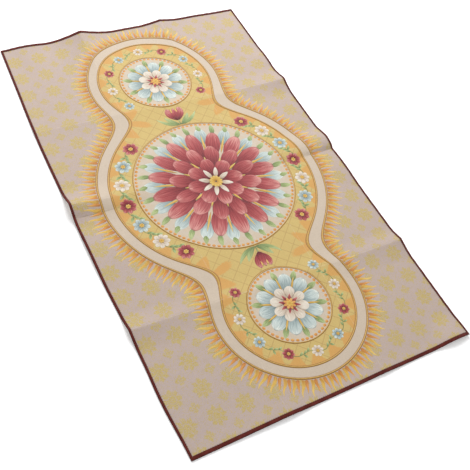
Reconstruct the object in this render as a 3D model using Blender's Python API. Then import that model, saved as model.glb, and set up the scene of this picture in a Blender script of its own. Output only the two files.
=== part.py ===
"""An embroidered silk panel lying face up on a flat surface.

The panel was stored folded in three across and in four along, so creased ridges
run over it from edge to edge. A narrow maroon binding is folded round each edge,
broader at the ends than at the sides, and its four strips meet in mitred corners.

Metres, +Z up. The origin is on the surface, under the middle of the panel.
+Y points to the top edge of the design and +X to its right.
"""

import math
from collections import namedtuple

import bmesh
import bpy

# Outer size over the binding, measured at the ends
PANEL_WIDTH = 0.700
PANEL_LENGTH = 1.200
LEFT_BOW = 0.013  # how far the left edge bows out at mid length

CLOTH_THICKNESS = 0.0012
END_BINDING_WIDTH = 0.008  # top and bottom
SIDE_BINDING_WIDTH = 0.0055
BINDING_THICKNESS = 0.0007
SEWN_GAP = 0.0003  # between the cloth and the binding, and between two strips

# Worked out from the sizes above
HALF_WIDTH = PANEL_WIDTH / 2
HALF_LENGTH = PANEL_LENGTH / 2
BINDING_HEIGHT = CLOTH_THICKNESS + 2 * (BINDING_THICKNESS + SEWN_GAP)
EDGE_RADIUS = BINDING_HEIGHT / 2  # the binding's rounded outer edge
CLOTH_INSET = EDGE_RADIUS  # from the outer edge to the cloth's own edge

# The cloth rests on the lower fold of the binding, then sinks to the surface
RIM_LIFT = BINDING_THICKNESS + SEWN_GAP
RIM_LIFT_ENDS = 0.036

# A crest is sharp, and its sides hollow out towards the foot
RIDGE_SHAPE = 1.5
SIDE_GROWTH = 3.0  # how late a cross crease grows from mid height to side height

# The left edge's own unevenness, on top of its bow
EdgeWave = namedtuple("EdgeWave", "y out reach")
LEFT_EDGE_WAVES = (
    EdgeWave(0.270, 0.0020, 0.200),
    EdgeWave(-0.310, -0.0024, 0.150),
    EdgeWave(-0.480, 0.0020, 0.090),
)

# Creases along the panel, tall at the top edge and low from there on
LengthCrease = namedtuple(
    "LengthCrease", "x top_height run_height fade left_spread right_spread"
)
LENGTH_CREASES = (
    LengthCrease(-0.130, 0.0200, 0.0030, 0.110, 0.085, 0.092),
    LengthCrease(0.110, 0.0095, 0.0026, 0.130, 0.065, 0.060),
)

# Creases across the panel, each a little askew
CrossCrease = namedtuple(
    "CrossCrease",
    "y_left y_right left_height middle_height right_height far_spread near_spread",
)
CROSS_CREASES = (
    CrossCrease(0.290, 0.270, 0.0020, 0.0025, 0.0120, 0.050, 0.048),
    CrossCrease(0.035, 0.027, 0.0170, 0.0000, 0.0000, 0.062, 0.058),
    CrossCrease(-0.304, -0.320, 0.0110, 0.0035, 0.0092, 0.040, 0.052),
)

# Between its two sides the middle fold stands up from a sharp foot, and the cloth
# above that sinks slowly away
Step = namedtuple("Step", "y_left y_right height rise reach")
MIDDLE_STEP = Step(0.005, 0.000, 0.0055, 0.025, 0.200)

# Towards each side the middle fold swells into a round roll over the same foot
Roll = namedtuple("Roll", "height rise sink_starts sink_ends")
LEFT_ROLL = Roll(0.0080, 0.0140, 0.030, 0.080)
RIGHT_ROLL = Roll(0.0122, 0.0105, 0.031, 0.091)

# Soft lifts between the creases
Swell = namedtuple("Swell", "x y height x_radius y_radius")
SWELLS = (
    Swell(0.200, 0.600, 0.0020, 0.110, 0.150),
    Swell(-0.285, 0.600, 0.0040, 0.065, 0.120),
    Swell(0.350, 0.375, 0.0030, 0.080, 0.050),
    Swell(0.350, -0.058, 0.0034, 0.090, 0.075),
    Swell(-0.350, -0.090, 0.0045, 0.120, 0.120),
    Swell(0.312, -0.600, 0.0085, 0.065, 0.075),
    Swell(-0.180, -0.600, 0.0025, 0.120, 0.080),
)

# Spacing of the mesh lines: close near a crest, wide between
CREST_REACH = 0.050
SLANT_REACH = 0.120  # how far from a crest the mesh lines still slant with it
FINE_STEP = 0.0125
COARSE_STEP = 0.034
EDGE_STEP = 0.010  # the first line inside an edge, clear of the binding
ARC_SEGMENTS = 4

SILK_COLOUR = (0.58, 0.45, 0.30, 1.0)
BINDING_COLOUR = (0.085, 0.012, 0.012, 1.0)


def ridge(offset, spread_before, spread_after):
    """The share of a crest's height at a signed distance from it."""
    spread = spread_after if offset > 0 else spread_before
    return max(0.0, 1.0 - abs(offset) / spread) ** RIDGE_SHAPE


def length_crease_height(crease, x, y):
    below_top = HALF_LENGTH - y
    extra = (crease.top_height - crease.run_height) * math.exp(-below_top / crease.fade)
    crest = crease.run_height + extra
    return crest * ridge(x - crease.x, crease.left_spread, crease.right_spread)


def cross_crease_height(crease, x, y):
    across = x / HALF_WIDTH
    side_height = crease.left_height if across < 0 else crease.right_height
    growth = abs(across) ** SIDE_GROWTH
    crest = crease.middle_height + (side_height - crease.middle_height) * growth
    crest_y = crease.y_left + (crease.y_right - crease.y_left) * (across + 1) / 2
    return crest * ridge(y - crest_y, crease.near_spread, crease.far_spread)


def middle_fold_height(x, y):
    """The step, and towards each side the roll, above the foot of the middle fold."""
    across = x / HALF_WIDTH
    side_share = abs(across) ** SIDE_GROWTH
    step = MIDDLE_STEP
    foot_y = step.y_left + (step.y_right - step.y_left) * (across + 1) / 2
    above = max(0.0, y - foot_y)
    rise = 1.0 - math.exp(-above / step.rise)
    sink = max(0.0, 1.0 - above / step.reach)
    height = step.height * (1.0 - side_share) * rise * sink
    roll = LEFT_ROLL if x < 0 else RIGHT_ROLL
    rise = 1.0 - math.exp(-above / roll.rise)
    past = (above - roll.sink_starts) / (roll.sink_ends - roll.sink_starts)
    past = min(1.0, max(0.0, past))
    sink = 1.0 - past**2 * (3.0 - 2.0 * past)
    return height + roll.height * side_share * rise * sink


def swell_height(swell, x, y):
    away = math.hypot((x - swell.x) / swell.x_radius, (y - swell.y) / swell.y_radius)
    return swell.height * max(0.0, 1.0 - away**2) ** 2


def fold_height(x, y):
    """How far the folds lift the panel off the surface at a point of the flat panel."""
    return (
        sum(length_crease_height(crease, x, y) for crease in LENGTH_CREASES)
        + sum(cross_crease_height(crease, x, y) for crease in CROSS_CREASES)
        + sum(swell_height(swell, x, y) for swell in SWELLS)
        + middle_fold_height(x, y)
    )


def rim_lift(x, y):
    """How far the binding's lower fold lifts the cloth beside an edge."""
    from_edge = min(HALF_WIDTH - abs(x), HALF_LENGTH - abs(y))
    share = (RIM_LIFT_ENDS - from_edge) / (RIM_LIFT_ENDS - EDGE_STEP)
    return RIM_LIFT * min(1.0, max(0.0, share))


def bowed(x, y):
    """The real X of a point of the flat panel, with the bow of the left edge."""
    bow = LEFT_BOW * (1.0 - (y / HALF_LENGTH) ** 2)
    for wave in LEFT_EDGE_WAVES:
        bow += wave.out * max(0.0, 1.0 - ((y - wave.y) / wave.reach) ** 2) ** 2
    leftness = max(0.0, -x / HALF_WIDTH) ** 2
    return x - bow * leftness + LEFT_BOW / 2


def slanted(x, line_y):
    """The Y of a mesh line at a given X: lines near a cross crease slant with it."""
    y = line_y
    for crease in CROSS_CREASES:
        middle = (crease.y_left + crease.y_right) / 2
        slant = (crease.y_right - crease.y_left) / 2 * x / HALF_WIDTH
        y += slant * max(0.0, 1.0 - abs(line_y - middle) / SLANT_REACH)
    return y


def stations(half, crests):
    """Mesh lines from edge to edge, close together beside each crest."""
    first, last = -half + EDGE_STEP, half - EDGE_STEP
    stops = {first, last}
    for crest in crests:
        stops |= {crest - CREST_REACH, crest, crest + CREST_REACH}
    stops = sorted(stop for stop in stops if first <= stop <= last)
    lines = [-half]
    for start, end in zip(stops, stops[1:]):
        middle = (start + end) / 2
        near_crest = any(abs(middle - crest) < CREST_REACH for crest in crests)
        count = math.ceil((end - start) / (FINE_STEP if near_crest else COARSE_STEP))
        lines += [start + (end - start) * i / count for i in range(count)]
    return lines + [last, half]


COLUMNS = stations(HALF_WIDTH, [crease.x for crease in LENGTH_CREASES])
ROWS = stations(
    HALF_LENGTH,
    [(fold.y_left + fold.y_right) / 2 for fold in (*CROSS_CREASES, MIDDLE_STEP)],
)


def held_inside(value, half, inset):
    return min(half - inset, max(inset - half, value))


def make_material(name, colour, roughness):
    material = bpy.data.materials.new(name)
    material.use_nodes = True
    shader = material.node_tree.nodes["Principled BSDF"]
    shader.inputs["Base Color"].default_value = colour
    shader.inputs["Roughness"].default_value = roughness
    shader.inputs["Metallic"].default_value = 0.0
    return material


def add_object(name, bm, material, collection):
    bmesh.ops.recalc_face_normals(bm, faces=bm.faces)
    mesh = bpy.data.meshes.new(name)
    bm.to_mesh(mesh)
    bm.free()
    mesh.materials.append(material)
    mesh.shade_smooth()
    mesh.set_sharp_from_angle(angle=math.radians(40))
    panel_object = bpy.data.objects.new(name, mesh)
    collection.objects.link(panel_object)
    return panel_object


def add_cloth(material, collection):
    """The silk: a flat grid raised into its folds, then given its thickness."""
    bm = bmesh.new()
    x_cells, y_cells = len(COLUMNS) - 1, len(ROWS) - 1
    bmesh.ops.create_grid(bm, x_segments=x_cells, y_segments=y_cells, size=1.0)
    for vert in bm.verts:
        column = COLUMNS[round((vert.co.x + 1) / 2 * x_cells)]
        row = ROWS[round((vert.co.y + 1) / 2 * y_cells)]
        x = held_inside(column, HALF_WIDTH, CLOTH_INSET)
        y = held_inside(slanted(x, row), HALF_LENGTH, CLOTH_INSET)
        vert.co = (bowed(x, y), y, fold_height(x, y) + rim_lift(x, y))
    raised = bmesh.ops.extrude_face_region(bm, geom=bm.faces[:], use_keep_orig=True)
    upper = [part for part in raised["geom"] if isinstance(part, bmesh.types.BMVert)]
    bmesh.ops.translate(bm, verts=upper, vec=(0, 0, CLOTH_THICKNESS))
    return add_object("silk_panel", bm, material, collection)


def half_round(radius, start, end):
    """Points of a half circle about the binding's middle height, as (inset, height)."""
    angles = [start + (end - start) * i / ARC_SEGMENTS for i in range(ARC_SEGMENTS + 1)]
    return [
        (EDGE_RADIUS - radius * math.cos(a), EDGE_RADIUS + radius * math.sin(a))
        for a in angles
    ]


def binding_section(width):
    """The closed U of the binding: its outer skin going up, its inner one coming down."""
    quarter = math.pi / 2
    outer = half_round(EDGE_RADIUS, -quarter, quarter)
    inner = half_round(EDGE_RADIUS - BINDING_THICKNESS, quarter, -quarter)
    return [
        (width, 0.0),
        *outer,
        (width, BINDING_HEIGHT),
        (width, BINDING_HEIGHT - BINDING_THICKNESS),
        *inner,
        (width, BINDING_THICKNESS),
    ]


def mitre_setback(inset, own_width, other_width):
    """How far a strip stays back from the corner at an inset from its outer edge."""
    slope = other_width / own_width
    return inset * slope + SEWN_GAP / 2 * math.hypot(1.0, slope)


def binding_point(side, along, inset, height):
    """A point of a strip: along its edge, in from the outer edge, up from below."""
    if side in ("left", "right"):
        setback = mitre_setback(inset, SIDE_BINDING_WIDTH, END_BINDING_WIDTH)
        x = (inset - HALF_WIDTH) * (1 if side == "left" else -1)
        y = held_inside(slanted(x, along), HALF_LENGTH, setback)
    else:
        setback = mitre_setback(inset, END_BINDING_WIDTH, SIDE_BINDING_WIDTH)
        x = held_inside(along, HALF_WIDTH, setback)
        y = (HALF_LENGTH - inset) * (1 if side == "top" else -1)
    return bowed(x, y), y, fold_height(x, y) + height


def add_binding_strip(side, material, collection):
    """One strip: a grid rolled up into the section, joined there and capped."""
    bm = bmesh.new()
    at_side = side in ("left", "right")
    section = binding_section(SIDE_BINDING_WIDTH if at_side else END_BINDING_WIDTH)
    lines = ROWS if at_side else COLUMNS
    steps, turns = len(lines) - 1, len(section)
    bmesh.ops.create_grid(bm, x_segments=steps, y_segments=turns, size=1.0)
    for vert in bm.verts:
        along = lines[round((vert.co.x + 1) / 2 * steps)]
        inset, height = section[round((vert.co.y + 1) / 2 * turns) % turns]
        vert.co = binding_point(side, along, inset, height)
    bmesh.ops.remove_doubles(bm, verts=bm.verts, dist=0.000001)
    open_edges = [edge for edge in bm.edges if edge.is_boundary]
    bmesh.ops.holes_fill(bm, edges=open_edges, sides=0)
    return add_object(f"binding_{side}", bm, material, collection)


def main():
    for old in list(bpy.data.objects):
        bpy.data.objects.remove(old, do_unlink=True)
    collection = bpy.data.collections.new("embroidered_silk_icon")
    bpy.context.scene.collection.children.link(collection)
    silk = make_material("silk", SILK_COLOUR, roughness=0.55)
    maroon = make_material("maroon_binding", BINDING_COLOUR, roughness=0.6)
    add_cloth(silk, collection)
    for side in ("top", "bottom", "left", "right"):
        add_binding_strip(side, maroon, collection)


main()
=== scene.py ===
import math
import random

import bmesh
import bpy
from mathutils import Matrix, Vector
from mathutils.kdtree import KDTree
from mathutils.noise import noise


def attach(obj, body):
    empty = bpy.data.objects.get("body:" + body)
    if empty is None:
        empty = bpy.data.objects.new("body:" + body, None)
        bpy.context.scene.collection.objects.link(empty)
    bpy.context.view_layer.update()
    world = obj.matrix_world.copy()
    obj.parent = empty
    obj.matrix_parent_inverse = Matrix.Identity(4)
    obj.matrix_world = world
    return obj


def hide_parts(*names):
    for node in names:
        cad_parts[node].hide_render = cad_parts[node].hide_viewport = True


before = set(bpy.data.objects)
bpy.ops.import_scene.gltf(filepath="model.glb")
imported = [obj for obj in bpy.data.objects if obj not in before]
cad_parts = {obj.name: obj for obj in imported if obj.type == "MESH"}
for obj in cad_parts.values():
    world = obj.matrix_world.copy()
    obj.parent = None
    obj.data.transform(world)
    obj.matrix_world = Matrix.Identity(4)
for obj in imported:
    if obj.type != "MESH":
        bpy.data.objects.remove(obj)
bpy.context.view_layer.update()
mm = 0.001


# Shape of the panel. A place on it is given flat: x to the right and y to the top
# edge, in metres from the middle, as if the silk were ironed out.

panel = {
    "width": 0.700,
    "length": 1.200,
    "thickness": 1.2 * mm,
    "edgeInset": 1.8 * mm,  # the silk stops this far inside the binding's fold
    "cell": 4.4 * mm,  # size of the mesh cells
    "slantReach": 0.12,  # how near a slanting crease the mesh lines turn with it
    "bow": 13 * mm,  # how far the left edge bows out at mid length
    "bowWaves": [  # y, how far out, reach
        (0.270, 2.0 * mm, 0.200),
        (-0.310, -2.4 * mm, 0.150),
        (-0.480, 2.0 * mm, 0.090),
    ],
    "crestSoftness": 2.2 * mm,
    "rimLift": 1.0 * mm,  # the binding's lower fold under the edge of the silk
    "rimLiftFalls": 10 * mm,
    "rimLiftEnds": 36 * mm,
}

# Storage folds along the panel: x, height at the top edge, height further down,
# how fast it falls, reach to the left, reach to the right
lengthCreases = [
    (-0.130, 20.0 * mm, 3.0 * mm, 0.110, 0.085, 0.092),
    (0.110, 9.5 * mm, 2.6 * mm, 0.130, 0.065, 0.060),
]

# Storage folds across it: y at the left edge, y at the right edge, heights at the
# left edge, in the middle and at the right edge, reach upwards, reach downwards
crossCreases = [
    (0.290, 0.270, 2.0 * mm, 2.5 * mm, 12.0 * mm, 0.050, 0.048),
    (0.035, 0.027, 17.0 * mm, 0.0, 0.0, 0.062, 0.058),
    (-0.304, -0.320, 11.0 * mm, 3.5 * mm, 9.2 * mm, 0.040, 0.052),
]

# The middle fold stands up from a sharp foot between its sides, then sinks away
middleStep = {
    "leftY": 0.005,
    "rightY": 0.000,
    "height": 5.5 * mm,
    "rise": 0.025,
    "reach": 0.200,
}

# Towards each side it swells into a round roll over the same foot: height at the
# edge, how fast it rises, how far up it starts to sink and has sunk
leftRoll = (8.0 * mm, 0.0140, 0.030, 0.080)
rightRoll = (12.2 * mm, 0.0105, 0.031, 0.091)

# Soft lifts: x, y, height, reach across, reach along
swells = [
    (0.200, 0.600, 2.0 * mm, 0.110, 0.150),
    (-0.285, 0.600, 4.0 * mm, 0.065, 0.120),
    (0.350, 0.375, 3.0 * mm, 0.080, 0.050),
    (0.350, -0.058, 3.4 * mm, 0.090, 0.075),
    (-0.350, -0.090, 4.5 * mm, 0.120, 0.120),
    (0.312, -0.600, 8.5 * mm, 0.065, 0.075),
    (-0.180, -0.600, 2.5 * mm, 0.120, 0.080),
]

ripples = {
    "settle": 0.25 * mm,  # brings the lowest point back to the floor
    "wide": 1.1 * mm,  # slow waves over the whole cloth
    "wideSize": 0.095,
    "fine": 0.35 * mm,
    "fineSize": 0.030,
    "pucker": 0.45 * mm,  # drawn in by the binding's seam
    "puckerLength": 0.027,
    "puckerReach": 0.024,
}

halfWidth = panel["width"] / 2
halfLength = panel["length"] / 2


def ridge(offset, reachBefore, reachAfter):
    reach = reachAfter if offset > 0 else reachBefore
    softness = panel["crestSoftness"]
    away = math.sqrt(offset**2 + softness**2) - softness
    return max(0.0, 1 - away / reach) ** 1.5


def crossCrestY(crease, x):
    left, right = crease[0], crease[1]
    return left + (right - left) * (x / halfWidth + 1) / 2


def middleFold(x, y):
    across = x / halfWidth
    leftY, rightY = middleStep["leftY"], middleStep["rightY"]
    above = max(0.0, y - leftY - (rightY - leftY) * (across + 1) / 2)
    rise = 1 - math.exp(-above / middleStep["rise"])
    sink = max(0.0, 1 - above / middleStep["reach"])
    step = middleStep["height"] * (1 - abs(across) ** 3) * rise * sink
    height, rise, sinkStarts, sinkEnds = leftRoll if x < 0 else rightRoll
    past = min(1.0, max(0.0, (above - sinkStarts) / (sinkEnds - sinkStarts)))
    roll = height * (1 - math.exp(-above / rise)) * (1 - past**2 * (3 - 2 * past))
    return step + roll * abs(across) ** 3


def foldHeight(x, y):
    height = middleFold(x, y)
    for crestX, topHeight, runHeight, fade, leftReach, rightReach in lengthCreases:
        crest = runHeight + (topHeight - runHeight) * math.exp((y - halfLength) / fade)
        height += crest * ridge(x - crestX, leftReach, rightReach)
    for crease in crossCreases:
        left, middle, right, upReach, downReach = crease[2:]
        side = left if x < 0 else right
        crest = middle + (side - middle) * abs(x / halfWidth) ** 3
        height += crest * ridge(y - crossCrestY(crease, x), downReach, upReach)
    for swellX, swellY, lift, reachX, reachY in swells:
        away = ((x - swellX) / reachX) ** 2 + ((y - swellY) / reachY) ** 2
        height += lift * max(0.0, 1 - away) ** 2
    return height


def rippleHeight(x, y):
    wide, fine = ripples["wideSize"], ripples["fineSize"]
    height = ripples["wide"] * (noise(Vector((x / wide, y / wide, 2.5))) + 1) / 2
    height -= ripples["settle"]
    height += ripples["fine"] * (noise(Vector((x / fine, y / fine, 7.1))) + 1) / 2
    sideGap, endGap = halfWidth - abs(x), halfLength - abs(y)
    fromEdge, along = (sideGap, y) if sideGap < endGap else (endGap, x)
    phase = along / ripples["puckerLength"] + 1.7 * noise(Vector((along * 9, fromEdge, 4.2)))
    fade = max(0.0, 1 - fromEdge / ripples["puckerReach"])
    return height + ripples["pucker"] * fade * (math.sin(math.tau * phase) + 1) / 2


def bowed(x, y):
    out = panel["bow"] * (1 - (y / halfLength) ** 2)
    for waveY, waveOut, reach in panel["bowWaves"]:
        out += waveOut * max(0.0, 1 - ((y - waveY) / reach) ** 2) ** 2
    return x - out * max(0.0, -x / halfWidth) ** 2 + panel["bow"] / 2


def onPanel(x, y, lift=0.0):
    # a point of the silk's face, or a little over it
    fromEdge = min(halfWidth - abs(x), halfLength - abs(y))
    starts, ends = panel["rimLiftFalls"], panel["rimLiftEnds"]
    rim = panel["rimLift"] * min(1.0, max(0.0, (ends - fromEdge) / (ends - starts)))
    height = foldHeight(x, y) + rippleHeight(x, y) + rim + panel["thickness"]
    return Vector((bowed(x, y), y, height + lift))


# Colours and node helpers


def srgb(red, green, blue):
    linear = [((c / 255 + 0.055) / 1.055) ** 2.4 for c in (red, green, blue)]
    return (*linear, 1.0)


def plug(value, entry):
    if isinstance(value, Signal):
        value.tree.links.new(value.socket, entry)
    else:
        entry.default_value = value


class Signal:  # a node's output that takes part in plain arithmetic
    def __init__(self, tree, socket):
        self.tree = tree
        self.socket = socket

    def math(self, operation, *others):
        node = self.tree.nodes.new("ShaderNodeMath")
        node.operation = operation
        for value, entry in zip((self, *others), node.inputs):
            plug(value, entry)
        return Signal(self.tree, node.outputs[0])

    def __add__(self, other):
        return self.math("ADD", other)

    def __sub__(self, other):
        return self.math("SUBTRACT", other)

    def __mul__(self, other):
        return self.math("MULTIPLY", other)

    def __truediv__(self, other):
        return self.math("DIVIDE", other)

    def flipped(self, total=1.0):  # total minus the signal
        return (self * -1) + total

    def hypot(self, other):
        return (self * self + other * other).math("SQRT")

    def passes(self, edge, softness):  # 0 under the edge, 1 over it
        node = self.tree.nodes.new("ShaderNodeMapRange")
        node.interpolation_type = "SMOOTHSTEP"
        plug(self, node.inputs["Value"])
        plug(edge - softness, node.inputs["From Min"])
        plug(edge + softness, node.inputs["From Max"])
        return Signal(self.tree, node.outputs["Result"])

    def within(self, width, softness):  # 1 close to zero, 0 away from it
        return self.math("ABSOLUTE").passes(width, softness).flipped()


def mixed(factor, first, second):
    node = factor.tree.nodes.new("ShaderNodeMix")
    node.data_type = "RGBA"
    plug(factor, node.inputs[0])
    plug(first, node.inputs[6])  # the colour pair of a Mix node
    plug(second, node.inputs[7])
    return Signal(factor.tree, node.outputs[2])


def shaded(colour, value):
    # the same hue, lighter where value is over 1 and darker under it
    node = colour.tree.nodes.new("ShaderNodeHueSaturation")
    plug(value, node.inputs["Value"])
    plug(colour, node.inputs["Color"])
    return Signal(colour.tree, node.outputs[0])


def noiseOver(x, y, sizeX, sizeY, detail=2.0):
    tree = x.tree
    place = tree.nodes.new("ShaderNodeCombineXYZ")
    plug(x / sizeX, place.inputs["X"])
    plug(y / sizeY, place.inputs["Y"])
    cloud = tree.nodes.new("ShaderNodeTexNoise")
    cloud.inputs["Scale"].default_value = 1.0
    cloud.inputs["Detail"].default_value = detail
    tree.links.new(place.outputs[0], cloud.inputs["Vector"])
    return Signal(tree, cloud.outputs["Fac"])


def newMaterial(name, roughness, sheen=0.0, specular=0.3):
    material = bpy.data.materials.new(name)
    material.use_nodes = True
    shader = material.node_tree.nodes["Principled BSDF"]
    shader.inputs["Roughness"].default_value = roughness
    shader.inputs["Sheen Weight"].default_value = sheen
    shader.inputs["Specular IOR Level"].default_value = specular
    return material, material.node_tree, shader


def uvAxes(tree, mapName):
    uv = tree.nodes.new("ShaderNodeUVMap")
    uv.uv_map = mapName
    parts = tree.nodes.new("ShaderNodeSeparateXYZ")
    tree.links.new(uv.outputs["UV"], parts.inputs["Vector"])
    return Signal(tree, parts.outputs["X"]), Signal(tree, parts.outputs["Y"])


def vertexValue(tree, name):
    attribute = tree.nodes.new("ShaderNodeAttribute")
    attribute.attribute_name = name
    return Signal(tree, attribute.outputs["Fac"])


def writeMap(faces, uvMap, places):
    for face in faces:
        for loop in face.loops:
            loop[uvMap].uv = places[loop.vert]


def addBump(tree, shader, height, strength, distance):
    bump = tree.nodes.new("ShaderNodeBump")
    bump.inputs["Strength"].default_value = strength
    bump.inputs["Distance"].default_value = distance
    plug(height, bump.inputs["Height"])
    tree.links.new(bump.outputs["Normal"], shader.inputs["Normal"])


def addPiece(name, bm, materials, smoothAngle=60):
    mesh = bpy.data.meshes.new(name)
    bm.to_mesh(mesh)
    bm.free()
    for material in materials:
        mesh.materials.append(material)
    mesh.shade_smooth()
    mesh.set_sharp_from_angle(angle=math.radians(smoothAngle))
    piece = bpy.data.objects.new(name, mesh)
    bpy.context.scene.collection.objects.link(piece)
    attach(piece, "root")
    return piece


# The drawn design, in millimetres from the middle. A tall cartouche of three joined
# roundels lies on a ground of small sprigs.

cartouche = {
    "middleRadius": 285.0,
    "endRadius": 182.0,
    "endCentre": 372.0,  # y of the end roundels' centres
    "blend": 130.0,
    "fieldDepth": 87.0,  # where the inner field starts, in from the outline
    "scallop": 44.0,  # width of one scallop round the gold field
    "scallopDepth": 44.0,
    "scallopSwing": 14.0,  # in and out from that depth
    "lattice": 36.0,  # from one of its thin lines to the next
}


def outlineDistance(x, y):
    big = math.hypot(x, y) - cartouche["middleRadius"]
    small = math.hypot(x, abs(y) - cartouche["endCentre"]) - cartouche["endRadius"]
    blend = cartouche["blend"]
    near = max(blend - abs(big - small), 0) / blend
    return min(big, small) - near**3 * blend / 6


def outlineNormal(x, y):
    step = 0.5
    alongX = outlineDistance(x + step, y) - outlineDistance(x - step, y)
    alongY = outlineDistance(x, y + step) - outlineDistance(x, y - step)
    size = math.hypot(alongX, alongY)
    return alongX / size, alongY / size


def contour(depth, spacing, loop="middle"):
    # evenly spaced places on the line that runs this deep inside the outline, each
    # with the direction out of the cartouche
    x, y = cartouche["middleRadius"] - depth, 0.0
    if loop != "middle":
        x, y = cartouche["endRadius"] - depth, cartouche["endCentre"] * loop
    walk = []
    step = 1.0
    while len(walk) < 20 or math.hypot(x - walk[0][0], y - walk[0][1]) > step:
        walk.append((x, y))
        outX, outY = outlineNormal(x, y)
        x, y = x - outY * step, y + outX * step
        miss = outlineDistance(x, y) + depth
        outX, outY = outlineNormal(x, y)
        x, y = x - outX * miss, y - outY * miss
    count = round(len(walk) * step / spacing / 2) * 2
    picked = [walk[round(i * len(walk) / count) % len(walk)] for i in range(count)]
    return [(px, py, math.atan2(*reversed(outlineNormal(px, py)))) for px, py in picked]


# The silk itself

ground = {
    "pink": srgb(181, 163, 156),
    "sprig": srgb(190, 171, 101),
    "sprigDark": srgb(170, 139, 88),
    "pitch": 63.7,
    "firstX": -8.5,  # a large sprig's place
    "firstY": -28.5,
    "largeSprig": 20.5,  # from the middle to the petals' tips
    "smallSprig": 11.5,
    "edgeWander": 8.0,  # how ragged the sprigs' edges are
}

zones = {
    "goldLine": srgb(198, 158, 74),
    "brownLine": srgb(148, 103, 61),
    "cream": srgb(196, 180, 161),
    "gold": srgb(197, 172, 106),
    "orange": srgb(203, 151, 80),
    "innerCream": srgb(198, 184, 166),
}

weave = {
    "threadPitch": 0.95,
    "grain": 0.16,  # lighter and darker threads
    "fleck": 0.12,  # the mottling of a jacquard's mixed threads
    "bump": 0.35,
}

creaseWearAndShade = {  # what the folds have done to the silk, and the shade painted at the foot of the middle fold
    "rubbed": srgb(224, 212, 198),  # pale threads along the crests
    "rubbedShare": 0.25,
    # painted shade for the foot of the middle fold
    "footShade": srgb(112, 92, 66),
    "footShadeShare": 0.45,
}

reverse = {
    "buff": srgb(190, 170, 140),
    "floats": srgb(160, 120, 100),
    "sprig": srgb(188, 172, 150),
}


def yarnChance(x, y):
    # another value between 0 and 1 at each crossing of two threads
    tree = x.tree
    place = tree.nodes.new("ShaderNodeCombineXYZ")
    plug(x.math("SNAP", weave["threadPitch"]), place.inputs["X"])
    plug(y.math("SNAP", weave["threadPitch"]), place.inputs["Y"])
    speckle = tree.nodes.new("ShaderNodeTexWhiteNoise")
    speckle.noise_dimensions = "2D"
    tree.links.new(place.outputs[0], speckle.inputs["Vector"])
    return Signal(tree, speckle.outputs["Value"])


def sprig(x, y, size, petals, ragged):
    # a small open flower: leafy petals round a ring and a dot
    reach = x.hypot(y)
    turn = y.math("ARCTAN2", x) * petals
    lobes = turn.math("COSINE")
    tips = lobes * (size * 0.13) + (turn * 3).math("COSINE") * (size * 0.05) + size * 0.87
    filled = (tips - reach + ragged).passes(0.0, size * 0.13)
    slots = lobes.passes(-0.80, 0.22).math("MAXIMUM", reach.passes(size * 0.5, 1.5).flipped())
    ringGap = (reach - size * 0.40).within(size * 0.05, 1.0)
    return filled * (slots * 0.55 + 0.45) * (ringGap * -0.5 + 1.0)


def sprigMask(x, y, wander):
    pitch = ground["pitch"]
    ax = ((x - ground["firstX"]) / pitch).math("PINGPONG", 0.5) * pitch
    ay = ((y - ground["firstY"]) / pitch).math("PINGPONG", 0.5) * pitch
    ragged = (wander - 0.5) * ground["edgeWander"]
    large = sprig(ax, ay * 0.92, ground["largeSprig"], 8, ragged)
    cornerX, cornerY = ax.flipped(pitch / 2), ay.flipped(pitch / 2)
    small = sprig(cornerX, cornerY, ground["smallSprig"], 4, ragged * 0.7)
    return large.math("MAXIMUM", small * 0.85)


def cartoucheDepth(x, y):
    big = x.hypot(y) - cartouche["middleRadius"]
    small = x.hypot(y.math("ABSOLUTE") - cartouche["endCentre"]) - cartouche["endRadius"]
    return big.math("SMOOTH_MIN", small, cartouche["blend"]) * -1


def goldField(x, y, depth, wave, flecks):
    # orange scallops along the border, and a lattice of thin lines over the rest
    pitch = cartouche["lattice"]
    rising = ((x + y) / pitch).math("PINGPONG", 0.5) * pitch
    falling = ((x - y) / pitch).math("PINGPONG", 0.5) * pitch
    nearLine = rising.math("MINIMUM", falling)
    swing = (wave + flecks - 0.5) * cartouche["scallopSwing"]
    scallopEdge = swing + cartouche["scallopDepth"]
    scallop = (scallopEdge - depth).passes(0.0, 3.5)
    tone = mixed(scallop * 0.85 + (flecks - 0.5) * 0.5, zones["gold"], zones["orange"])
    lines = nearLine.passes(1.0, 0.7).flipped() * scallop.flipped()
    return mixed(lines * 0.4, tone, zones["brownLine"]), nearLine


def foldWear(x, y):
    # thin broken lines along the crests of the creases
    worn = None
    for crease in crossCreases:
        slope = (crease[1] - crease[0]) / panel["width"]
        middle = (crease[0] + crease[1]) / 2 / mm
        line = (y - x * slope - middle).within(0.9, 1.3)
        worn = line if worn is None else worn.math("MAXIMUM", line)
    for crease in lengthCreases:
        worn = worn.math("MAXIMUM", (x - crease[0] / mm).within(0.6, 1.1))
    return worn * noiseOver(x, y, 9.0, 9.0).passes(0.48, 0.14)


def foldFootShade(x, y):
    # painted shade: a thin dark line at the foot of the middle fold
    leftY, rightY = middleStep["leftY"], middleStep["rightY"]
    slope = (rightY - leftY) / panel["width"]
    line = (y - x * slope - (leftY + rightY) / 2 / mm).within(1.0, 1.4)
    return line * noiseOver(x, y, 40.0, 40.0).passes(0.5, 0.12)


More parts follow.
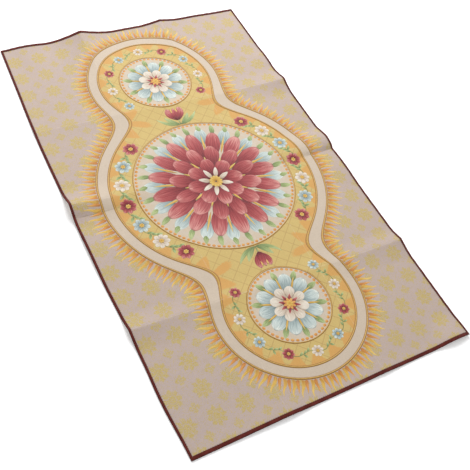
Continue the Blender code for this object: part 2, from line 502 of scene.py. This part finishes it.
def clothMaterial():
    material, tree, shader = newMaterial("pictureSilk", roughness=0.62, sheen=0.12)
    u, v = uvAxes(tree, "flat")
    x = (u - 0.5) * (panel["width"] / mm)
    y = (v - 0.5) * (panel["length"] / mm)
    flecks = noiseOver(x, y, 3.2, 2.4)

    yarn = yarnChance(x, y)
    inside = sprigMask(x, y, noiseOver(x, y, 7.0, 7.0))
    goldShare = inside * 0.70 + (flecks - 0.5) * 0.6 + 0.10
    goldYarn = (goldShare - yarn).passes(0.0, 0.12)
    sprigTone = mixed((flecks - 0.5) * 2.2 + 0.25, ground["sprig"], ground["sprigDark"])
    colour = mixed(goldYarn, ground["pink"], sprigTone)

    depth = cartoucheDepth(x, y)
    wave = vertexValue(tree, "scallopWave")
    goldTone, nearLine = goldField(x, y, depth, wave, flecks)
    damask = nearLine.passes(6.0, 3.0) * 0.10
    creamTone = mixed(damask, zones["innerCream"], zones["goldLine"])
    rows = [  # how deep inside the outline each tone starts
        (0.0, zones["brownLine"]),
        (1.2, zones["goldLine"]),
        (4.4, zones["brownLine"]),
        (5.4, zones["cream"]),
        (26.6, zones["brownLine"]),
        (27.6, zones["goldLine"]),
        (30.8, zones["brownLine"]),
        (32.0, goldTone),
        (83.5, zones["brownLine"]),
        (84.6, zones["goldLine"]),
        (cartouche["fieldDepth"], creamTone),
    ]
    for edge, tone in rows:
        colour = mixed(depth.passes(edge, 0.45), colour, tone)

    # threads, wear along the crests, and painted shade at the foot of the middle fold
    warp = noiseOver(x, y, 0.9, 16.0, detail=1.0)
    weft = noiseOver(x, y, 16.0, 0.9, detail=1.0)
    grain = (warp + weft - 1.0) * weave["grain"] + (flecks - 0.5) * weave["fleck"]
    colour = shaded(colour, grain + 1.0)
    colour = mixed(foldWear(x, y) * creaseWearAndShade["rubbedShare"], colour, creaseWearAndShade["rubbed"])
    # painted shade: a dark line along the foot of the middle fold
    colour = mixed(foldFootShade(x, y) * creaseWearAndShade["footShadeShare"], colour, creaseWearAndShade["footShade"])
    plug(colour, shader.inputs["Base Color"])

    pitch = weave["threadPitch"]
    ribs = (y / pitch * math.tau).math("SINE") * 0.5
    threads = (x / pitch * math.tau).math("SINE") * ribs
    relief = threads + goldYarn * 0.6 + (flecks - 0.5) * 0.8
    addBump(tree, shader, relief, weave["bump"], 0.35 * mm)
    return material


def reverseMaterial():
    # the back, where the colours' threads float over a plain buff ground
    material, tree, shader = newMaterial("silkReverse", roughness=0.75, sheen=0.1)
    u, v = uvAxes(tree, "flat")
    x = (u - 0.5) * (panel["width"] / mm)
    y = (v - 0.5) * (panel["length"] / mm)
    inside = sprigMask(x, y, noiseOver(x, y, 7.0, 7.0))
    floats = noiseOver(x, y, 24.0, 1.2)
    colour = mixed(floats.passes(0.5, 0.2) * 0.5, reverse["buff"], reverse["floats"])
    colour = mixed(inside * 0.5, colour, reverse["sprig"])
    plug(colour, shader.inputs["Base Color"])
    addBump(tree, shader, floats, 0.4, 0.4 * mm)
    return material


def stops(half, crests, step):
    # mesh lines from edge to edge, one of them on each crest
    marks = [-half, *sorted(crests), half]
    lines = []
    for start, end in zip(marks, marks[1:]):
        count = math.ceil((end - start) / step)
        lines += [start + (end - start) * i / count for i in range(count)]
    return lines + [half]


def slanted(x, lineY):
    # turns the mesh lines near a crease so that one runs along it
    y = lineY
    for crease in crossCreases:
        middle = (crease[0] + crease[1]) / 2
        slant = (crease[1] - crease[0]) / 2 * x / halfWidth
        y += slant * max(0.0, 1 - abs(lineY - middle) / panel["slantReach"])
    return y


def markScallops(bm, wave):
    # 1 at the middle of each scallop round the gold field, -1 between two
    line = contour(cartouche["scallopDepth"], 1.0)
    count = round(len(line) / cartouche["scallop"])
    nearest = KDTree(len(line))
    for i, (x, y, _) in enumerate(line):
        nearest.insert((x, y, 0.0), i)
    nearest.balance()
    for vert in bm.verts:
        _, i, _ = nearest.find((vert.co.x / mm, vert.co.y / mm, 0.0))
        vert[wave] = math.cos(math.tau * count * i / len(line))


def makeCloth():
    inset = panel["edgeInset"]
    columns = stops(halfWidth - inset, [c[0] for c in lengthCreases], panel["cell"])
    crestRows = [(c[0] + c[1]) / 2 for c in crossCreases]
    crestRows.append((middleStep["leftY"] + middleStep["rightY"]) / 2)
    rows = stops(halfLength - inset, crestRows, panel["cell"])
    across, along = len(columns) - 1, len(rows) - 1
    bm = bmesh.new()
    uvMap = bm.loops.layers.uv.new("flat")
    wave = bm.verts.layers.float.new("scallopWave")
    bmesh.ops.create_grid(bm, x_segments=across, y_segments=along, size=1.0)
    flatPlaces = {}
    for vert in bm.verts:
        x = columns[round((vert.co.x + 1) / 2 * across)]
        y = slanted(x, rows[round((vert.co.y + 1) / 2 * along)])
        flatPlaces[vert] = (x / panel["width"] + 0.5, y / panel["length"] + 0.5)
        vert.co = (x, y, 0.0)
    markScallops(bm, wave)
    for vert in bm.verts:
        vert.co = onPanel(vert.co.x, vert.co.y)
    writeMap(bm.faces, uvMap, flatPlaces)
    cloth = addPiece("pictureCloth", bm, [clothMaterial(), reverseMaterial()])
    body = cloth.modifiers.new("thickness", "SOLIDIFY")
    body.thickness = panel["thickness"]
    body.offset = -1
    body.material_offset = 1
    body.material_offset_rim = 0
    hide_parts("silk_panel")
    return cloth


# Patches of satin stitch, all those of one silk in one piece

shapes = {  # where the widest place is, and how blunt the ends are
    "petal": (1.55, 0.60),
    "leaf": (0.95, 0.85),
    "bud": (0.72, 0.70),
    "dot": (1.0, 0.50),
    "spear": (0.34, 0.75),
}

threadWidth = 0.6

chance = random.Random(7)


class Stitching:
    def __init__(self, name):
        self.name = name
        self.bm = bmesh.new()
        self.bm.loops.layers.uv.new("patch")
        self.tone = self.bm.verts.layers.float.new("tone")
        self.threads = self.bm.verts.layers.float.new("threads")

    def patch(
        self, foot, heading, length, width,
        shape="petal", lift=0.0, rise=0.5, bend=0.0, sway=0.0,
    ):
        # foot, length, width, lift, rise and sway in millimetres, the rest in radians
        belly, blunt = shapes[shape]
        across = 8 if width > 14 else 4
        along = max(6, min(32, round(length / 3.2)))
        made = bmesh.ops.create_grid(
            self.bm, x_segments=across, y_segments=along, size=1.0, calc_uvs=True
        )
        tone = chance.uniform(-1, 1)
        for vert in made["verts"]:
            side, t = vert.co.x, (vert.co.y + 1) / 2
            swing = heading + bend * (t - 0.5)
            middleX = foot[0] + length * t * math.cos(heading + bend * t / 2 - bend / 4)
            middleY = foot[1] + length * t * math.sin(heading + bend * t / 2 - bend / 4)
            spread = max(0.04, math.sin(math.pi * t**belly) ** blunt) * width / 2 * side
            spread += sway * math.sin(math.tau * t)
            x = (middleX - math.sin(swing) * spread) * mm
            y = (middleY + math.cos(swing) * spread) * mm
            crown = math.sqrt(max(0.0, 1 - side**2)) * math.sin(math.pi * t) ** 0.4
            height = lift + rise * crown if crown > 0.01 else lift - 0.15
            vert.co = onPanel(x, y, height * mm)
            vert[self.tone] = tone
            vert[self.threads] = width / threadWidth

    def ring(self, centre, count, inner, length, width, start=0.0, **how):
        for i in range(count):
            heading = start + math.tau * i / count
            footX = centre[0] + inner * math.cos(heading)
            footY = centre[1] + inner * math.sin(heading)
            self.patch((footX, footY), heading, length, width, **how)

    def flower(self, spot, count, reach, width, heart, start=0.0, lift=0.2):
        # a small flower, its heart worked in another silk
        self.ring(spot, count, reach * 0.12, reach * 0.9, width, start=start, lift=lift)
        heart.ring(spot, 6, 0, reach * 0.32, reach * 0.26, lift=lift + 0.5, shape="dot")

    def stem(self, places, width, lift=0.05, rise=0.35):
        # a narrow line of stem stitch along the places
        made = bmesh.ops.create_grid(
            self.bm, x_segments=3, y_segments=len(places) - 1, size=1.0, calc_uvs=True
        )
        tone = chance.uniform(-1, 1)
        last = len(places) - 1
        for vert in made["verts"]:
            i = round((vert.co.y + 1) / 2 * last)
            before, after = places[max(0, i - 1)], places[min(last, i + 1)]
            way = math.atan2(after[1] - before[1], after[0] - before[0])
            spread = width / 2 * vert.co.x
            x = (places[i][0] - math.sin(way) * spread) * mm
            y = (places[i][1] + math.cos(way) * spread) * mm
            vert.co = onPanel(x, y, (lift + rise * (1 - vert.co.x**2)) * mm)
            vert[self.tone] = tone
            vert[self.threads] = width / threadWidth

    def finish(self, material):
        bmesh.ops.recalc_face_normals(self.bm, faces=self.bm.faces)
        return addPiece(self.name, self.bm, [material])


def threadMaterial(name, tones, outline, edge=0.45, roughness=0.48, sheen=0.12):
    # tones run from a patch's foot to its tip, and the outline is a darker thread,
    # edge millimetres wide
    material, tree, shader = newMaterial(name, roughness, sheen)
    side, along = uvAxes(tree, "patch")
    tone = vertexValue(tree, "tone")
    threads = vertexValue(tree, "threads")
    thread = side * threads
    hairs = noiseOver(thread, along * 3.0 + tone * 9.0, 1.0, 1.0)
    bundles = noiseOver(thread + tone * 40.0, along * 2.0, 4.0, 0.8, detail=1.0)
    ramp = tree.nodes.new("ShaderNodeValToRGB")
    elements = ramp.color_ramp.elements
    while len(elements) < len(tones):
        elements.new(0.5)
    for element, (place, colour) in zip(elements, tones):
        element.position = place
        element.color = colour
    reach = along + (hairs - 0.5) * 0.4 + (bundles - 0.5) * 0.75 + tone * 0.07
    plug(reach, ramp.inputs["Fac"])
    colour = shaded(Signal(tree, ramp.outputs["Color"]), hairs * 0.45 + bundles * 0.25 + 0.65)
    fromEdge = ((side - 0.5).math("ABSOLUTE") * -1 + 0.5) * threads * threadWidth
    fromTip = (along.flipped()) * 14.0
    rim = fromEdge.math("MINIMUM", fromTip).passes(edge + 0.1, 0.45).flipped()
    colour = mixed(rim * 0.6, colour, outline)
    plug(colour, shader.inputs["Base Color"])
    stripes = (thread * math.tau).math("SINE")
    addBump(tree, shader, stripes + hairs + rim, 0.35, 0.3 * mm)
    return material


silks = {  # each silk's tones from foot to tip, and the thread that outlines it
    "crimson": {
        "tones": [
            (0.05, srgb(84, 24, 30)),
            (0.42, srgb(146, 54, 58)),
            (0.75, srgb(172, 80, 80)),
            (0.98, srgb(212, 150, 142)),
        ],
        "outline": srgb(86, 30, 32),
    },
    "paleBlue": {
        "tones": [
            (0.05, srgb(94, 110, 112)),
            (0.40, srgb(154, 169, 168)),
            (0.80, srgb(188, 200, 196)),
            (1.0, srgb(222, 225, 215)),
        ],
        "outline": srgb(92, 104, 106),
    },
    "cream": {
        "tones": [
            (0.05, srgb(178, 152, 128)),
            (0.50, srgb(210, 196, 178)),
            (1.0, srgb(226, 218, 204)),
        ],
        "outline": srgb(140, 106, 80),
    },
    "green": {
        "tones": [
            (0.0, srgb(92, 108, 66)),
            (0.5, srgb(146, 162, 104)),
            (1.0, srgb(184, 194, 140)),
        ],
        "outline": srgb(84, 92, 56),
    },
    "gold": {
        "tones": [
            (0.0, srgb(182, 132, 60)),
            (0.4, srgb(212, 170, 76)),
            (1.0, srgb(220, 190, 108)),
        ],
        "outline": srgb(132, 84, 44),
        "edge": 0.8,
    },
    "orange": {
        "tones": [
            (0.0, srgb(176, 112, 54)),
            (0.5, srgb(212, 146, 72)),
            (1.0, srgb(218, 172, 98)),
        ],
        "outline": srgb(112, 60, 36),
        "edge": 1.1,
    },
}


def greatRosette(work):
    middle = (0.0, 0.0)
    work["green"].ring(middle, 32, 156, 38, 15, shape="leaf", bend=0.5)
    work["paleBlue"].ring(middle, 16, 118, 62, 32, start=math.pi / 16, lift=0.1)
    work["crimson"].ring(middle, 16, 64, 102, 40, lift=0.3, rise=0.8)
    work["gold"].ring(middle, 16, 96, 62, 6, start=math.pi / 16, lift=0.5, shape="leaf")
    work["crimson"].ring(middle, 12, 38, 80, 40, start=0.2, lift=0.8, rise=0.8)
    work["gold"].ring(middle, 12, 44, 38, 6, start=0.2 + math.pi / 12, lift=1.0, shape="leaf")
    work["crimson"].ring(middle, 8, 14, 60, 40, lift=1.3, rise=0.8)
    work["cream"].ring(middle, 8, 12, 32, 14, start=math.pi / 8, lift=1.8, shape="leaf")
    work["gold"].ring(middle, 12, 2, 16, 9, lift=2.2, shape="dot")


def endRosette(work, centre):
    work["green"].ring(centre, 10, 58, 32, 15, start=math.pi / 10, shape="leaf")
    work["paleBlue"].ring(centre, 10, 24, 54, 33, lift=0.3, rise=0.7)
    work["gold"].ring(centre, 10, 34, 38, 5, start=math.pi / 10, lift=0.5, shape="leaf")
    work["cream"].ring(centre, 8, 10, 36, 25, start=0.3, lift=0.9, rise=0.6)
    work["crimson"].ring(centre, 8, 6, 22, 8, start=0.3, lift=1.2, shape="leaf")
    work["orange"].ring(centre, 8, 2, 14, 9, lift=1.5, shape="leaf")
    work["gold"].ring(centre, 6, 0, 9, 7, lift=1.9, shape="dot")


def neckTulip(work, way):
    up = way * math.pi / 2
    base = (0.0, way * 206.0)
    work["green"].stem([(0.0, way * (206 + 2 * i)) for i in range(10)], 3.0)
    for side in (1, -1):
        lean = up - side * 0.95
        work["green"].patch(base, lean, 48, 15, shape="leaf", bend=side * 0.7)
        work["green"].patch(base, lean - side * 0.3, 66, 12, shape="leaf", bend=side * 0.9)
        foot = (side * 2, way * 222)
        work["crimson"].patch(foot, up - side * 0.5, 46, 21, lift=0.2, bend=side * 0.6)
        work["gold"].patch((0, way * 226), up - side * 0.22, 38, 9, shape="leaf", lift=0.5)
    work["crimson"].patch((0, way * 222), up, 42, 20, lift=0.8, shape="bud")


def flowersAround(work, centre, radius, angles, reach, order):
    # flowers on an arc, joined by a wavering stem with leaves on it
    for i, angle in enumerate(angles):
        spot = (centre[0] + radius * math.cos(angle), centre[1] + radius * math.sin(angle))
        petals = work[order[i % len(order)]]
        petals.flower(spot, 8, reach, reach * 0.58, work["gold"], start=angle)
    for first, second in zip(angles, angles[1:]):
        places = []
        for step in range(15):
            share = step / 14
            angle = first + (second - first) * share
            ring = radius + reach * 0.35 * math.sin(math.tau * share)
            place = (centre[0] + ring * math.cos(angle), centre[1] + ring * math.sin(angle))
            places.append(place)
        work["green"].stem(places, 1.6, lift=0.0, rise=0.2)
        way = math.copysign(math.pi / 2, second - first)
        for share, turn in ((0.34, 0.8), (0.5, -0.9), (0.66, 0.9), (0.5, 0.7)):
            angle = first + (second - first) * share
            foot = places[round(share * 14)]
            heading = angle + way + turn
            work["green"].patch(foot, heading, reach * 0.9, reach * 0.42, shape="leaf", bend=0.4)


fringe = {
    "spacing": 9.6,
    "unevenness": 0.10,
    "longLeaf": (43, 10.5),  # length, width
    "shortLeaf": (33, 9.5),
    "dotSpacing": 12,  # round the fields of the rosettes
    "dot": (8, 10),
}


def edgeOrnament(work):
    # pointed leaves that stand out round the cartouche, and dots round its fields
    for i, (x, y, out) in enumerate(contour(1.0, fringe["spacing"])):
        turn = fringe["unevenness"] * math.sin(i * 2.4)
        if i % 2:
            length, width = fringe["longLeaf"]
            work["gold"].patch((x, y), out + turn, length, width, "spear", rise=0.3, sway=2.2)
        else:
            length, width = fringe["shortLeaf"]
            work["orange"].patch((x, y), out - turn, length, width, "spear", rise=0.4, sway=-0.6)
    for loop in ("middle", 1, -1):
        for x, y, out in contour(cartouche["fieldDepth"] + 1, fringe["dotSpacing"], loop):
            work["orange"].patch((x, y), out + math.pi, *fringe["dot"], shape="dot", rise=0.3)


def makeStitching():
    work = {name: Stitching(name + "Stitches") for name in silks}
    greatRosette(work)
    for way in (1, -1):
        centre = (0.0, way * cartouche["endCentre"])
        endRosette(work, centre)
        neckTulip(work, way)
        up = way * math.pi / 2
        angles = [up + i * 0.54 for i in range(-4, 5)]
        flowersAround(work, centre, 124, angles, 14, ("crimson", "cream", "paleBlue"))
    for facing in (0.0, math.pi):
        angles = [facing + i * 0.27 for i in range(-3, 4)]
        flowersAround(work, (0, 0), 226, angles, 20, ("crimson", "paleBlue", "cream"))
    edgeOrnament(work)
    return [
        stitching.finish(threadMaterial(name + "Thread", **silks[name]))
        for name, stitching in work.items()
    ]


# Twisted gold thread, sewn down along the lines of the border

couching = {
    "depths": [2.8, 29.2],  # in from the cartouche's outline
    "radius": 1.15,
    "flatness": 0.62,
    "twist": 5.6,  # length of one turn
    "step": 1.4,
    "sides": 8,
    "light": srgb(216, 176, 88),
    # painted shade in the grooves between the strands
    "dark": srgb(128, 84, 40),
}


def couchingMaterial():
    material, tree, shader = newMaterial("goldTwist", roughness=0.42, sheen=0.05, specular=0.5)
    turn, along = uvAxes(tree, "twist")
    strand = (turn * 2.0 - along * (2.0 / couching["twist"])).math("FRACT")
    grooveShade = (strand - 0.5).math("ABSOLUTE") * 2
    hairs = noiseOver(strand * 6.0, along, 1.0, 3.0)
    # painted shade: the gold darkens towards the grooves between the twist's strands
    colour = mixed(grooveShade.passes(0.62, 0.3) * 0.75, couching["light"], couching["dark"])
    colour = shaded(colour, hairs * 0.5 + 0.75)
    plug(colour, shader.inputs["Base Color"])
    addBump(tree, shader, hairs, 0.4, 0.2 * mm)
    return material


def makeCouching():
    bm = bmesh.new()
    uvMap = bm.loops.layers.uv.new("twist")
    step, sides = couching["step"], couching["sides"]
    paths = [contour(depth, step) for depth in couching["depths"]]
    for loop in ("middle", 1, -1):
        paths.append(contour(cartouche["fieldDepth"] - 1, step, loop))
    for path in paths:
        count = len(path)
        made = bmesh.ops.create_grid(bm, x_segments=sides, y_segments=count, size=1.0)
        places = {}
        turns = round(count * step / couching["twist"])
        for vert in made["verts"]:
            turn = round((vert.co.x + 1) / 2 * sides)
            i = round((vert.co.y + 1) / 2 * count)
            x, y, out = path[i % count]
            angle = math.tau * turn / sides
            twisted = angle - math.tau * turns * i / count
            radius = couching["radius"] * (1 + 0.2 * math.cos(2 * twisted))
            across = radius * math.cos(angle)
            up = radius * math.sin(angle) * couching["flatness"] + 0.5
            place = onPanel((x + math.cos(out) * across) * mm, (y + math.sin(out) * across) * mm)
            vert.co = place + Vector((0, 0, up * mm))
            places[vert] = (turn / sides, i / count * turns * couching["twist"])
        writeMap({face for vert in made["verts"] for face in vert.link_faces}, uvMap, places)
    bmesh.ops.remove_doubles(bm, verts=bm.verts, dist=0.000001)
    bmesh.ops.recalc_face_normals(bm, faces=bm.faces)
    return addPiece("goldCouching", bm, [couchingMaterial()], smoothAngle=80)


# The maroon binding

binding = {
    "endWidth": 8.0 * mm,  # top and bottom
    "sideWidth": 5.5 * mm,
    "height": 3.2 * mm,
    "tape": 0.7 * mm,
    "gap": 0.3 * mm,
    "crown": 0.35 * mm,
    "station": 3.0 * mm,  # length of the mesh cells along a strip
    "cornerStop": 10 * mm,
    "colour": srgb(88, 25, 18),
    "light": srgb(120, 47, 36),
    # dark: for the ribs and tufts, and for the shade painted along the fold and the sewn edge
    "dark": srgb(38, 10, 8),
    "edgeShade": 0.6,  # how much shade is painted along its fold and its sewn edge
}


def bindingMaterial():
    material, tree, shader = newMaterial("maroonTape", roughness=0.75, sheen=0.05, specular=0.2)
    across, along = uvAxes(tree, "tape")
    rubs = noiseOver(across, along, 0.3, 14.0)
    tufts = noiseOver(across, along, 0.05, 1.2)
    ribs = (along * (math.tau / 0.9)).math("SINE")
    colour = mixed(rubs.passes(0.5, 0.2) * 0.6, binding["colour"], binding["light"])
    colour = mixed(ribs * 0.12 + (tufts - 0.5) + 0.12, colour, binding["dark"])
    # across runs once round the section: 0 to 0.37 is the back and the fold
    # painted shade: the fold round the outer edge and a line along the sewn edge are darkened
    foldEdge = across.passes(0.29, 0.05).flipped()
    sewnEdge = (across - 0.535).within(0.022, 0.014)
    shade = sewnEdge.math("MAXIMUM", foldEdge) * binding["edgeShade"]
    colour = mixed(shade, colour, binding["dark"])
    plug(colour, shader.inputs["Base Color"])
    addBump(tree, shader, ribs + rubs + tufts, 0.5, 0.3 * mm)
    return material


def bindingSection(width):
    # a closed U: from the back up round the fold, over the face, then back inside
    height, tape = binding["height"], binding["tape"]
    radius = height / 2
    arc = [math.pi * (i / 10 - 0.5) for i in range(11)]
    outer = [(radius - radius * math.cos(a), radius + radius * math.sin(a)) for a in arc]
    thin = radius - tape
    inner = [(radius - thin * math.cos(a), radius + thin * math.sin(a)) for a in reversed(arc)]
    face = []
    for i in range(1, 6):
        share = i / 5
        crown = binding["crown"] * math.sin(math.pi * share)
        face.append((radius + (width - radius) * share, height + crown))
    return [(width, 0.0), *outer, *face, (width, height - tape), *inner, (width, tape)]


def mitreSetback(inset, ownWidth, otherWidth):
    # how far a strip stays back from the corner at an inset from its outer edge
    slope = otherWidth / ownWidth
    return inset * slope + binding["gap"] / 2 * math.hypot(1.0, slope)


def edgePlace(side, along, inset, height):
    endWidth, sideWidth = binding["endWidth"], binding["sideWidth"]
    if side in ("Left", "Right"):
        setback = mitreSetback(inset, sideWidth, endWidth)
        x = (inset - halfWidth) * (1 if side == "Left" else -1)
        y = min(halfLength - setback, max(setback - halfLength, along))
    else:
        setback = mitreSetback(inset, endWidth, sideWidth)
        x = min(halfWidth - setback, max(setback - halfWidth, along))
        y = (halfLength - inset) * (1 if side == "Top" else -1)
    surface = onPanel(x, y)
    below = panel["thickness"] + panel["rimLift"]
    return Vector((surface.x, surface.y, surface.z - below + height))


def makeBinding():
    material = bindingMaterial()
    strips = []
    for side in ("Top", "Bottom", "Left", "Right"):
        atSide = side in ("Left", "Right")
        section = bindingSection(binding["sideWidth"] if atSide else binding["endWidth"])
        half = halfLength if atSide else halfWidth
        corner = half - binding["cornerStop"]
        lines = stops(half, [-corner, corner], binding["station"])
        steps, turns = len(lines) - 1, len(section)
        bm = bmesh.new()
        uvMap = bm.loops.layers.uv.new("tape")
        bmesh.ops.create_grid(bm, x_segments=steps, y_segments=turns, size=1.0)
        tapePlaces = {}
        for vert in bm.verts:
            along = lines[round((vert.co.x + 1) / 2 * steps)]
            turn = round((vert.co.y + 1) / 2 * turns)
            inset, height = section[turn % turns]
            tapePlaces[vert] = (turn / turns, along / mm)
            vert.co = edgePlace(side, along, inset, height)
        writeMap(bm.faces, uvMap, tapePlaces)
        bmesh.ops.remove_doubles(bm, verts=bm.verts, dist=0.000001)
        bmesh.ops.holes_fill(bm, edges=[e for e in bm.edges if e.is_boundary], sides=0)
        bmesh.ops.recalc_face_normals(bm, faces=bm.faces)
        strip = addPiece("binding" + side, bm, [material])
        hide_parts("binding_" + side.lower())
        strips.append(strip)
    return strips


# Small slanting stitches that hold the binding's inner edge down

hemStitch = {
    "spacing": 5.0 * mm,
    "cornerGap": 14 * mm,
    "length": 2.5 * mm,
    "onTape": 0.42,  # the share of a stitch that lies on the tape
    "thick": 0.36 * mm,
    "threads": 3.0,
    "slant": 0.8,
    # painted light and shade: each stitch is darker towards both ends, where it sinks in, and
    # lighter over its middle
    "tones": [(0.0, srgb(60, 20, 20)), (0.5, srgb(104, 48, 44)), (1.0, srgb(70, 26, 24))],
    "outline": srgb(40, 14, 14),
}


def makeHemStitches():
    bm = bmesh.new()
    bm.loops.layers.uv.new("patch")
    toneLayer = bm.verts.layers.float.new("tone")
    threadLayer = bm.verts.layers.float.new("threads")
    length, thick = hemStitch["length"], hemStitch["thick"]
    for side in ("Top", "Bottom", "Left", "Right"):
        atSide = side in ("Left", "Right")
        width = binding["sideWidth"] if atSide else binding["endWidth"]
        reach = (halfLength if atSide else halfWidth) - hemStitch["cornerGap"]
        count = round(2 * reach / hemStitch["spacing"])
        for i in range(count + 1):
            along = -reach + 2 * reach * i / count
            made = bmesh.ops.create_grid(bm, x_segments=4, y_segments=5, size=1.0, calc_uvs=True)
            for vert in made["verts"]:
                turn, t = math.pi * (vert.co.x + 1) / 2, (vert.co.y + 1) / 2
                plump = thick * math.sin(math.pi * (0.12 + 0.76 * t)) ** 0.5
                inset = width + length * (t - hemStitch["onTape"])
                swing = length * hemStitch["slant"] * (t - 0.5) - plump * math.cos(turn)
                # over the tape's edge and down to the silk
                drop = min(1.0, max(0.0, (inset - width) / (1.2 * mm) + 0.4))
                base = binding["height"] + 0.1 * mm - drop * binding["tape"]
                height = base + plump * math.sin(turn)
                vert.co = edgePlace(side, along + swing, inset, height)
                vert[toneLayer] = chance.uniform(-0.4, 0.4)
                vert[threadLayer] = hemStitch["threads"]
    bmesh.ops.recalc_face_normals(bm, faces=bm.faces)
    thread = threadMaterial("hemThread", hemStitch["tones"], hemStitch["outline"])
    return addPiece("hemStitches", bm, [thread])


# Stage

light = {
    "keyPlace": (0.75, 2.3, 2.4),  # beyond the top edge, so the near end is a little darker
    "keyAim": (0.0, 0.1, 0.0),
    "keySize": 1.8,
    "keyPower": 103.0,
    "sky": 0.64,
    "floor": srgb(255, 255, 255),
    "floorGlow": 0.18,  # keeps the shadows on it pale
    "floorSize": 30.0,
}

cameraView = {
    "place": (-0.6676, -0.9212, 1.3223),
    "lookAt": (-0.0221, -0.1597, 0.0),
    "roll": 16.07,
    "lens": 54.01,  # on a 36 mm sensor
}


def makeStage():
    bpy.ops.mesh.primitive_plane_add(size=light["floorSize"], location=(0, 0, -0.1 * mm))
    floor = bpy.context.object
    floor.name = "floor"
    material, tree, shader = newMaterial("floorPaint", roughness=0.9)
    shader.inputs["Base Color"].default_value = light["floor"]
    shader.inputs["Emission Color"].default_value = light["floor"]
    shader.inputs["Emission Strength"].default_value = light["floorGlow"]
    floor.data.materials.append(material)

    lamp = bpy.data.lights.new("softKey", "AREA")
    lamp.energy = light["keyPower"]
    lamp.size = light["keySize"]
    key = bpy.data.objects.new("softKey", lamp)
    key.location = light["keyPlace"]
    toKey = Vector(light["keyPlace"]) - Vector(light["keyAim"])
    key.rotation_euler = toKey.to_track_quat("Z", "Y").to_euler()
    bpy.context.scene.collection.objects.link(key)

    world = bpy.context.scene.world or bpy.data.worlds.new("studio")
    bpy.context.scene.world = world
    world.use_nodes = True
    background = world.node_tree.nodes["Background"]
    background.inputs["Color"].default_value = (1, 1, 1, 1)
    background.inputs["Strength"].default_value = light["sky"]
    bpy.context.scene.view_settings.view_transform = "Standard"


def makeCamera():
    data = bpy.data.cameras.new("camera")
    data.sensor_width = 36
    data.lens = cameraView["lens"]
    data.clip_start = 0.05
    camera = bpy.data.objects.new("camera", data)
    place = Vector(cameraView["place"])
    aim = (Vector(cameraView["lookAt"]) - place).to_track_quat("-Z", "Y").to_matrix()
    turn = Matrix.Rotation(math.radians(cameraView["roll"]), 3, "Z")
    camera.matrix_world = Matrix.Translation(place) @ (aim @ turn).to_4x4()
    bpy.context.scene.collection.objects.link(camera)
    bpy.context.scene.camera = camera


makeCamera()
makeStage()
print("stage and camera ready")
cloth = makeCloth()
print("cloth ready")
stitching = makeStitching()
print("stitching ready")
goldCouching = makeCouching()
print("gold lines ready")
strips = makeBinding()
print("binding ready")
sewn = stitching + strips + [goldCouching, makeHemStitches()]
print("hem stitches ready")
